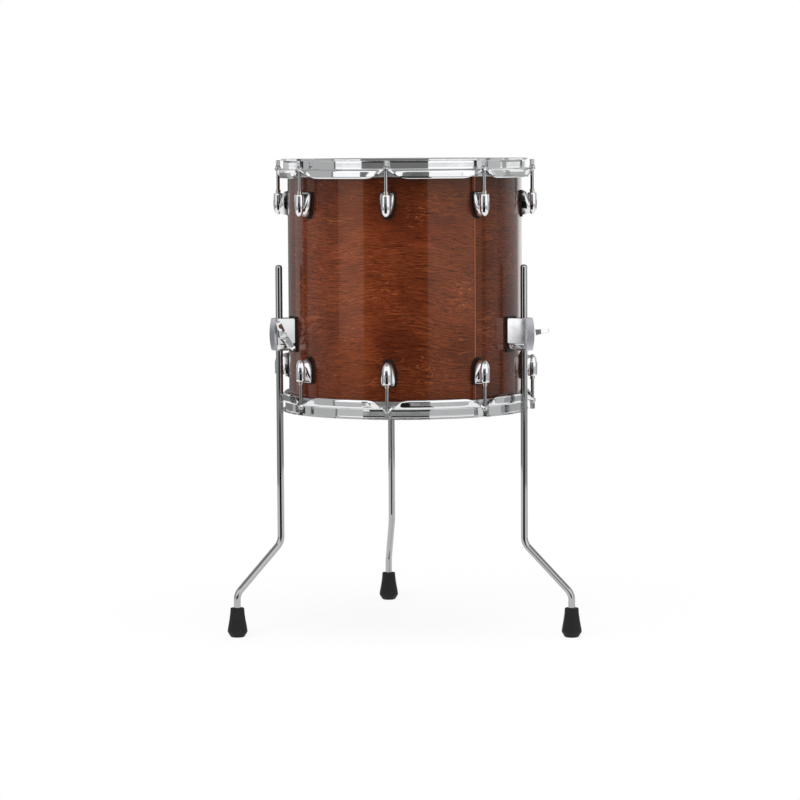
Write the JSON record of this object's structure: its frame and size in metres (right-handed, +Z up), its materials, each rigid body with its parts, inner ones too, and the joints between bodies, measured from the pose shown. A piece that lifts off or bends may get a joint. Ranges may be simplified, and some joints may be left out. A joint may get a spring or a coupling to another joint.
{
  "type": "floor tom",
  "caption": "Floor tom drum: ply shell with flanged steel hoops, lugs and tension rods, standing on bent legs held in wing nut clamp brackets.",
  "frame": {"origin": "on the floor, under the middle of the bounding box of the drum and its three legs; the drum's own axis is the vertical line x 3.8 mm, y -43.6 mm", "axes": "+Z up along the drum's axis, -Y towards the front of the drum, between the left and the right leg, +X to the right as seen from the front"},
  "size_m": [0.5332, 0.4898, 0.717],
  "materials": {
    "lacquered_wood": "gloss lacquer over red-brown stained ply, horizontal grain",
    "chrome": "polished chrome plate",
    "cast_chrome": "chrome plate on a die casting",
    "black_rubber": "moulded, matt",
    "aluminium": "rolled, satin",
    "coated_film": "sprayed white coating, slightly rough",
    "clear_film": "clear polyester film"
  },
  "bodies": {
    "drum": {"shell": "lacquered_wood", "vent_grommet": "chrome", "batter_head_film": "coated_film", "batter_flesh_hoop": "aluminium", "batter_hoop": "chrome", "resonant_head_film": "clear_film", "resonant_flesh_hoop": "aluminium", "resonant_hoop": "chrome", "batter_lug_1": "cast_chrome", "batter_lug_2": "cast_chrome", "batter_lug_3": "cast_chrome", "batter_lug_4": "cast_chrome", "batter_lug_5": "cast_chrome", "batter_lug_6": "cast_chrome", "batter_lug_7": "cast_chrome", "batter_lug_8": "cast_chrome", "resonant_lug_1": "cast_chrome", "resonant_lug_2": "cast_chrome", "resonant_lug_3": "cast_chrome", "resonant_lug_4": "cast_chrome", "resonant_lug_5": "cast_chrome", "resonant_lug_6": "cast_chrome", "resonant_lug_7": "cast_chrome", "resonant_lug_8": "cast_chrome", "left_bracket_body": "cast_chrome", "left_bracket_cap": "cast_chrome", "right_bracket_body": "cast_chrome", "right_bracket_cap": "cast_chrome", "rear_bracket_body": "cast_chrome", "rear_bracket_cap": "cast_chrome"},
    "batter_rod_1": {"batter_rod_1": "chrome"},
    "batter_rod_2": {"batter_rod_2": "chrome"},
    "batter_rod_3": {"batter_rod_3": "chrome"},
    "batter_rod_4": {"batter_rod_4": "chrome"},
    "batter_rod_5": {"batter_rod_5": "chrome"},
    "batter_rod_6": {"batter_rod_6": "chrome"},
    "batter_rod_7": {"batter_rod_7": "chrome"},
    "batter_rod_8": {"batter_rod_8": "chrome"},
    "resonant_rod_1": {"resonant_rod_1": "chrome"},
    "resonant_rod_2": {"resonant_rod_2": "chrome"},
    "resonant_rod_3": {"resonant_rod_3": "chrome"},
    "resonant_rod_4": {"resonant_rod_4": "chrome"},
    "resonant_rod_5": {"resonant_rod_5": "chrome"},
    "resonant_rod_6": {"resonant_rod_6": "chrome"},
    "resonant_rod_7": {"resonant_rod_7": "chrome"},
    "resonant_rod_8": {"resonant_rod_8": "chrome"},
    "left_leg": {"left_leg": "chrome", "left_rubber_foot": "black_rubber"},
    "right_leg": {"right_leg": "chrome", "right_rubber_foot": "black_rubber"},
    "rear_leg": {"rear_leg": "chrome", "rear_rubber_foot": "black_rubber"},
    "left_eyebolt": {"left_eyebolt": "chrome"},
    "right_eyebolt": {"right_eyebolt": "chrome"},
    "rear_eyebolt": {"rear_eyebolt": "chrome"},
    "left_wing_nut": {"left_wing_nut": "cast_chrome"},
    "right_wing_nut": {"right_wing_nut": "cast_chrome"},
    "rear_wing_nut": {"rear_wing_nut": "cast_chrome"}
  },
  "joints": [
    {"name": "batter_rod_1_turn", "type": "hinge", "parent": "drum", "child": "batter_rod_1", "pos_m": [-0.0234, -0.23682, 0.7036], "axis": [0, 0, -1], "range_deg": [-1080, 180]},
    {"name": "batter_rod_2_turn", "type": "hinge", "parent": "drum", "child": "batter_rod_2", "pos_m": [0.12117, -0.19943, 0.7036], "axis": [0, 0, -1], "range_deg": [-1080, 180]},
    {"name": "batter_rod_3_turn", "type": "hinge", "parent": "drum", "child": "batter_rod_3", "pos_m": [0.19696, -0.07077, 0.7036], "axis": [0, 0, -1], "range_deg": [-1080, 180]},
    {"name": "batter_rod_4_turn", "type": "hinge", "parent": "drum", "child": "batter_rod_4", "pos_m": [0.15957, 0.07379, 0.7036], "axis": [0, 0, -1], "range_deg": [-1080, 180]},
    {"name": "batter_rod_5_turn", "type": "hinge", "parent": "drum", "child": "batter_rod_5", "pos_m": [0.03091, 0.14958, 0.7036], "axis": [0, 0, -1], "range_deg": [-1080, 180]},
    {"name": "batter_rod_6_turn", "type": "hinge", "parent": "drum", "child": "batter_rod_6", "pos_m": [-0.11366, 0.1122, 0.7036], "axis": [0, 0, -1], "range_deg": [-1080, 180]},
    {"name": "batter_rod_7_turn", "type": "hinge", "parent": "drum", "child": "batter_rod_7", "pos_m": [-0.18945, -0.01647, 0.7036], "axis": [0, 0, -1], "range_deg": [-1080, 180]},
    {"name": "batter_rod_8_turn", "type": "hinge", "parent": "drum", "child": "batter_rod_8", "pos_m": [-0.15206, -0.16103, 0.7036], "axis": [0, 0, -1], "range_deg": [-1080, 180]},
    {"name": "resonant_rod_1_turn", "type": "hinge", "parent": "drum", "child": "resonant_rod_1", "pos_m": [-0.0234, -0.23682, 0.348], "axis": [0, 0, 1], "range_deg": [-1080, 180]},
    {"name": "resonant_rod_2_turn", "type": "hinge", "parent": "drum", "child": "resonant_rod_2", "pos_m": [0.12117, -0.19943, 0.348], "axis": [0, 0, 1], "range_deg": [-1080, 180]},
    {"name": "resonant_rod_3_turn", "type": "hinge", "parent": "drum", "child": "resonant_rod_3", "pos_m": [0.19696, -0.07077, 0.348], "axis": [0, 0, 1], "range_deg": [-1080, 180]},
    {"name": "resonant_rod_4_turn", "type": "hinge", "parent": "drum", "child": "resonant_rod_4", "pos_m": [0.15957, 0.07379, 0.348], "axis": [0, 0, 1], "range_deg": [-1080, 180]},
    {"name": "resonant_rod_5_turn", "type": "hinge", "parent": "drum", "child": "resonant_rod_5", "pos_m": [0.03091, 0.14958, 0.348], "axis": [0, 0, 1], "range_deg": [-1080, 180]},
    {"name": "resonant_rod_6_turn", "type": "hinge", "parent": "drum", "child": "resonant_rod_6", "pos_m": [-0.11366, 0.1122, 0.348], "axis": [0, 0, 1], "range_deg": [-1080, 180]},
    {"name": "resonant_rod_7_turn", "type": "hinge", "parent": "drum", "child": "resonant_rod_7", "pos_m": [-0.18945, -0.01647, 0.348], "axis": [0, 0, 1], "range_deg": [-1080, 180]},
    {"name": "resonant_rod_8_turn", "type": "hinge", "parent": "drum", "child": "resonant_rod_8", "pos_m": [-0.15206, -0.16103, 0.348], "axis": [0, 0, 1], "range_deg": [-1080, 180]},
    {"name": "left_leg_slide", "type": "slide", "parent": "drum", "child": "left_leg", "axis": [0, 0, 1], "range_m": [-0.078, 0.275]},
    {"name": "right_leg_slide", "type": "slide", "parent": "drum", "child": "right_leg", "axis": [0, 0, 1], "range_m": [-0.078, 0.275]},
    {"name": "rear_leg_slide", "type": "slide", "parent": "drum", "child": "rear_leg", "axis": [0, 0, 1], "range_m": [-0.078, 0.275]},
    {"name": "left_wing_nut_turn", "type": "hinge", "parent": "drum", "child": "left_wing_nut", "pos_m": [-0.18583, -0.10964, 0.454], "axis": [0.3289, -0.9444, 0], "range_deg": [0, 720]},
    {"name": "right_wing_nut_turn", "type": "hinge", "parent": "drum", "child": "right_wing_nut", "pos_m": [0.18166, -0.13663, 0.454], "axis": [0.4633, 0.8862, 0], "range_deg": [0, 720]},
    {"name": "rear_wing_nut_turn", "type": "hinge", "parent": "drum", "child": "rear_wing_nut", "pos_m": [-0.01897, 0.15584, 0.454], "axis": [-0.9936, -0.1132, 0], "range_deg": [0, 720]},
    {"name": "left_eyebolt_slide", "type": "slide", "parent": "drum", "child": "left_eyebolt", "axis": [-0.3289, 0.9444, 0], "range_m": [0, 0.0025]},
    {"name": "right_eyebolt_slide", "type": "slide", "parent": "drum", "child": "right_eyebolt", "axis": [-0.4633, -0.8862, 0], "range_m": [0, 0.0025]},
    {"name": "rear_eyebolt_slide", "type": "slide", "parent": "drum", "child": "rear_eyebolt", "axis": [0.9936, 0.1132, 0], "range_m": [0, 0.0025]}
  ],
  "couplings": [
    {"joint": "left_eyebolt_slide", "follows": "left_wing_nut_turn", "m_per_rad": 0.0001989},
    {"joint": "right_eyebolt_slide", "follows": "right_wing_nut_turn", "m_per_rad": 0.0001989},
    {"joint": "rear_eyebolt_slide", "follows": "rear_wing_nut_turn", "m_per_rad": 0.0001989}
  ]
}
